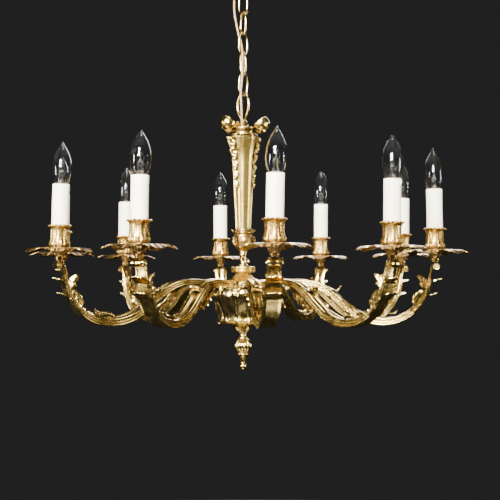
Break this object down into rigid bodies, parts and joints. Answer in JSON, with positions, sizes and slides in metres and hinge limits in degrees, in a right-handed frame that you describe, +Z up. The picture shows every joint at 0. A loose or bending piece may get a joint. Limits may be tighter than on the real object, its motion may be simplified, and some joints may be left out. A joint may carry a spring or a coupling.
{
  "type": "multi arm chandelier",
  "caption": "Gilt brass candle chandelier on a chain: fluted stem, basket, S-shaped leaf arms with drip pans, sleeves and clear candle bulbs.",
  "frame": {"origin": "centre of the ceiling plate's flat top face, above the chandelier's axis", "axes": "+Z up, square to the ceiling; the first arm points along -Y and the rest follow every 36 degrees"},
  "size_m": [0.7658, 0.802, 0.7626],
  "materials": {
    "polished_brass": "polished, aged in the hollows",
    "copper_gold": "chased, with a red-gold lacquer",
    "golden_brass": "satin yellow gilding",
    "steel": "plain zinc-plated steel",
    "candle_cream": "cream, slightly satin",
    "bulb_glass": "clear",
    "flex_sheath": "satin tan plastic over copper"
  },
  "bodies": {
    "ceiling_fitting": {"ceiling_plate": "steel", "ceiling_hook": "polished_brass", "ceiling_canopy": "polished_brass", "canopy_collar": "polished_brass", "supply_flex": "flex_sheath"},
    "chain": {"chain_link_1": "polished_brass", "chain_link_2": "polished_brass", "chain_link_3": "polished_brass", "chain_link_4": "polished_brass", "chain_link_5": "polished_brass"},
    "chandelier": {"hanging_loop": "polished_brass", "tie_rod": "steel", "crown": "polished_brass", "stem": "polished_brass", "stem_knop": "polished_brass", "spindle": "polished_brass", "bell_cover": "golden_brass", "arm_hub": "polished_brass", "basket": "polished_brass", "finial": "polished_brass", "arm_1": "polished_brass", "drip_pan_1": "copper_gold", "candle_sleeve_1": "candle_cream", "arm_2": "polished_brass", "drip_pan_2": "copper_gold", "candle_sleeve_2": "candle_cream", "arm_3": "polished_brass", "drip_pan_3": "copper_gold", "candle_sleeve_3": "candle_cream", "arm_4": "polished_brass", "drip_pan_4": "copper_gold", "candle_sleeve_4": "candle_cream", "arm_5": "polished_brass", "drip_pan_5": "copper_gold", "candle_sleeve_5": "candle_cream", "arm_6": "polished_brass", "drip_pan_6": "copper_gold", "candle_sleeve_6": "candle_cream", "arm_7": "polished_brass", "drip_pan_7": "copper_gold", "candle_sleeve_7": "candle_cream", "arm_8": "polished_brass", "drip_pan_8": "copper_gold", "candle_sleeve_8": "candle_cream", "arm_9": "polished_brass", "drip_pan_9": "copper_gold", "candle_sleeve_9": "candle_cream", "arm_10": "polished_brass", "drip_pan_10": "copper_gold", "candle_sleeve_10": "candle_cream"},
    "lamp_1": {"bulb_1": "bulb_glass"},
    "lamp_2": {"bulb_2": "bulb_glass"},
    "lamp_3": {"bulb_3": "bulb_glass"},
    "lamp_4": {"bulb_4": "bulb_glass"},
    "lamp_5": {"bulb_5": "bulb_glass"},
    "lamp_6": {"bulb_6": "bulb_glass"},
    "lamp_7": {"bulb_7": "bulb_glass"},
    "lamp_8": {"bulb_8": "bulb_glass"},
    "lamp_9": {"bulb_9": "bulb_glass"},
    "lamp_10": {"bulb_10": "bulb_glass"}
  },
  "joints": [
    {"name": "chain_swing", "type": "hinge", "parent": "ceiling_fitting", "child": "chain", "pos_m": [0, 0, -0.0797], "axis": [-0.4067, 0.9135, 0], "range_deg": [-10, 10], "deforming": ["supply_flex"]},
    {"name": "chandelier_swing", "type": "hinge", "parent": "chain", "child": "chandelier", "pos_m": [0, 0, -0.2645], "axis": [0.9135, 0.4067, 0], "range_deg": [-10, 10], "deforming": ["supply_flex"]},
    {"name": "bulb_1_lift", "type": "slide", "parent": "chandelier", "child": "lamp_1", "axis": [0, 0, 1], "range_m": [0, 0.03]},
    {"name": "bulb_2_lift", "type": "slide", "parent": "chandelier", "child": "lamp_2", "axis": [0, 0, 1], "range_m": [0, 0.03]},
    {"name": "bulb_3_lift", "type": "slide", "parent": "chandelier", "child": "lamp_3", "axis": [0, 0, 1], "range_m": [0, 0.03]},
    {"name": "bulb_4_lift", "type": "slide", "parent": "chandelier", "child": "lamp_4", "axis": [0, 0, 1], "range_m": [0, 0.03]},
    {"name": "bulb_5_lift", "type": "slide", "parent": "chandelier", "child": "lamp_5", "axis": [0, 0, 1], "range_m": [0, 0.03]},
    {"name": "bulb_6_lift", "type": "slide", "parent": "chandelier", "child": "lamp_6", "axis": [0, 0, 1], "range_m": [0, 0.03]},
    {"name": "bulb_7_lift", "type": "slide", "parent": "chandelier", "child": "lamp_7", "axis": [0, 0, 1], "range_m": [0, 0.03]},
    {"name": "bulb_8_lift", "type": "slide", "parent": "chandelier", "child": "lamp_8", "axis": [0, 0, 1], "range_m": [0, 0.03]},
    {"name": "bulb_9_lift", "type": "slide", "parent": "chandelier", "child": "lamp_9", "axis": [0, 0, 1], "range_m": [0, 0.03]},
    {"name": "bulb_10_lift", "type": "slide", "parent": "chandelier", "child": "lamp_10", "axis": [0, 0, 1], "range_m": [0, 0.03]}
  ]
}
